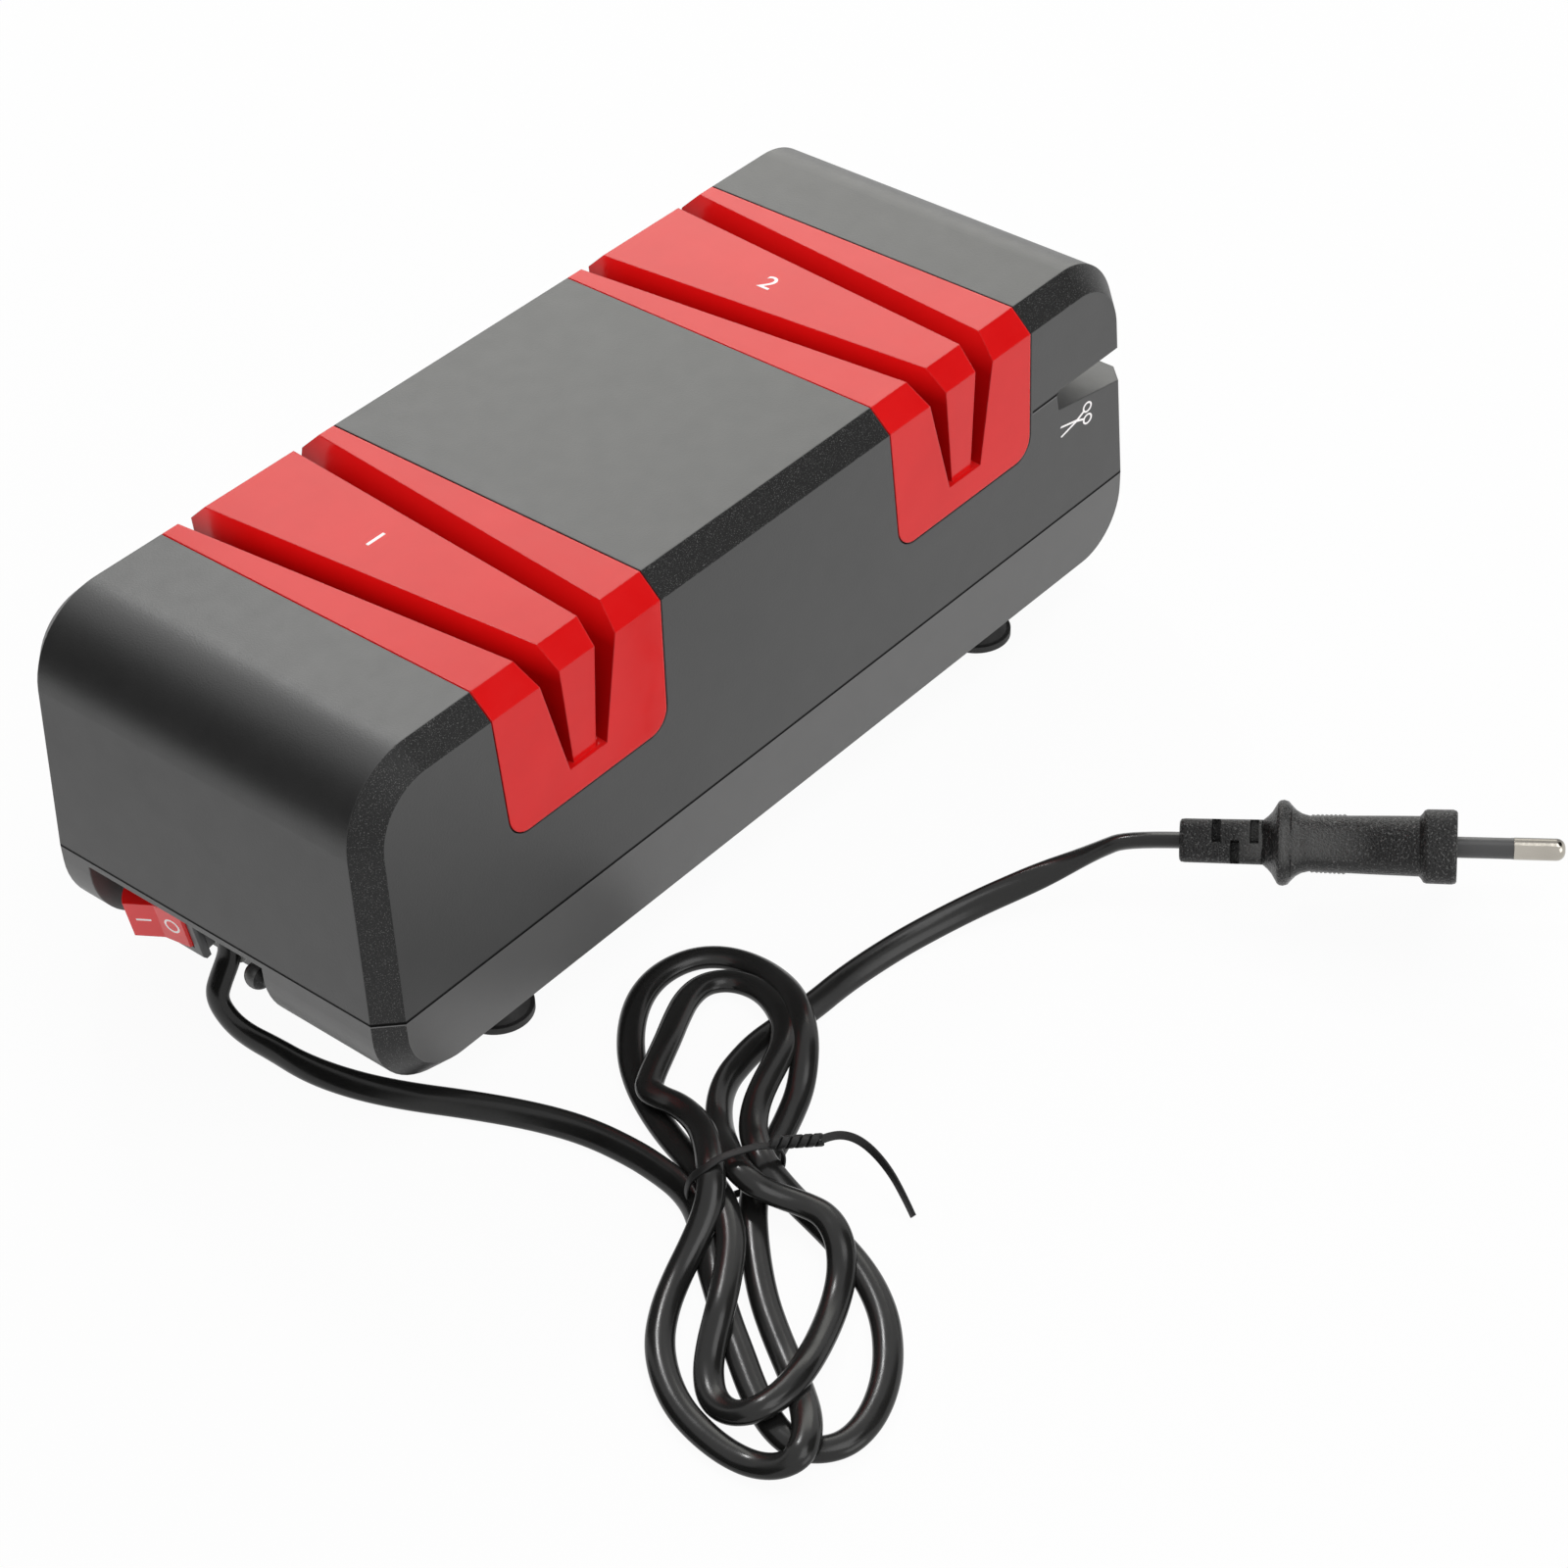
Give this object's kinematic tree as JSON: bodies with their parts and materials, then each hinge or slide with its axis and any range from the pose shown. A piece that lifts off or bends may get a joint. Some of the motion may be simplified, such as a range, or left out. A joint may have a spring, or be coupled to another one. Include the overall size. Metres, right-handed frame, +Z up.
{
  "type": "electric knife sharpener",
  "caption": "Mains knife sharpener: red slotted guides over grinding discs on a motor shaft, a slot with a wheel for scissors, rocker switch, rubber feet, tied flat cord with a two-pin plug",
  "frame": {"origin": "on the ground under the middle of the housing", "axes": "+X along the length towards the scissors end, +Y across the width, +Z up"},
  "size_m": [0.2371, 0.2173, 0.0776],
  "materials": {
    "black_housing": "satin, finely textured",
    "red_guides": "glossy",
    "switch_black": "semi-gloss",
    "red_rocker": "translucent, glossy",
    "foot_rubber": "matte",
    "bush_rubber": "matte",
    "cord_black": "glossy flexible PVC",
    "tie_black": "matte",
    "plug_black": "satin",
    "pin_nickel": "nickel plated",
    "sleeve_black": "satin",
    "steel": "brushed",
    "motor_steel": "zinc plated",
    "magnet": "sintered",
    "stone": "fine abrasive stone",
    "wheel_stone": "fine ceramic stone",
    "bronze": "sintered bronze",
    "copper": "bare copper",
    "carbon": "carbon",
    "white_plastic": "moulded",
    "fan_plastic": "moulded",
    "board_green": "laminate",
    "brown_wire": "PVC",
    "blue_wire": "PVC",
    "ring_rubber": "matte"
  },
  "bodies": {
    "housing": {"bearing_screws": "steel", "board_screws": "steel", "bridge_rectifier": "carbon", "cap_screws": "steel", "capacitor": "carbon", "case_screws": "steel", "clamp_screws": "steel", "coarse_insert": "red_guides", "cord_bundle": "cord_black", "cord_bush": "bush_rubber", "cord_clamp": "black_housing", "cord_lead_in": "cord_black", "cord_lead_out": "cord_black", "cord_tail": "cord_black", "fine_insert": "red_guides", "foot_1": "foot_rubber", "foot_2": "foot_rubber", "foot_3": "foot_rubber", "foot_4": "foot_rubber", "left_bearing": "bronze", "left_bearing_cap": "black_housing", "live_wire": "brown_wire", "lower_shell": "black_housing", "motor_brushes": "carbon", "motor_can": "motor_steel", "motor_end_cap": "white_plastic", "motor_leads": "brown_wire", "motor_magnets": "magnet", "motor_strap_front": "steel", "motor_strap_rear": "steel", "neutral_wire": "blue_wire", "pin_sleeves": "sleeve_black", "plug_body": "plug_black", "plug_pins": "pin_nickel", "rectifier_board": "board_green", "right_bearing": "bronze", "right_bearing_cap": "black_housing", "scissors_cap": "black_housing", "strap_screws": "steel", "switch_frame": "switch_black", "switch_terminals": "bronze", "switch_wire": "brown_wire", "twist_tie": "tie_black", "upper_cover": "black_housing"},
    "rotor": {"main_shaft": "steel", "rotor_core": "motor_steel", "commutator": "copper", "cooling_fan": "fan_plastic", "coarse_hub": "fan_plastic", "fine_hub": "fan_plastic", "coarse_disc_inner": "stone", "coarse_disc_outer": "stone", "fine_disc_inner": "stone", "fine_disc_outer": "stone", "disc_rings": "ring_rubber", "grub_screws": "steel", "scissors_wheel": "wheel_stone", "wheel_spacer": "bronze", "wheel_nut": "steel"},
    "rocker": {"switch_rocker": "red_rocker"}
  },
  "joints": [
    {"name": "shaft_spin", "type": "hinge", "parent": "housing", "child": "rotor", "pos_m": [0, 0, 0.04], "axis": [1, 0, 0], "continuous": true},
    {"name": "switch_rock", "type": "hinge", "parent": "housing", "child": "rocker", "pos_m": [-0.1006, 0.0202, 0.0172], "axis": [0.1736, 0, -0.9848], "range_deg": [0, 35.4]}
  ]
}
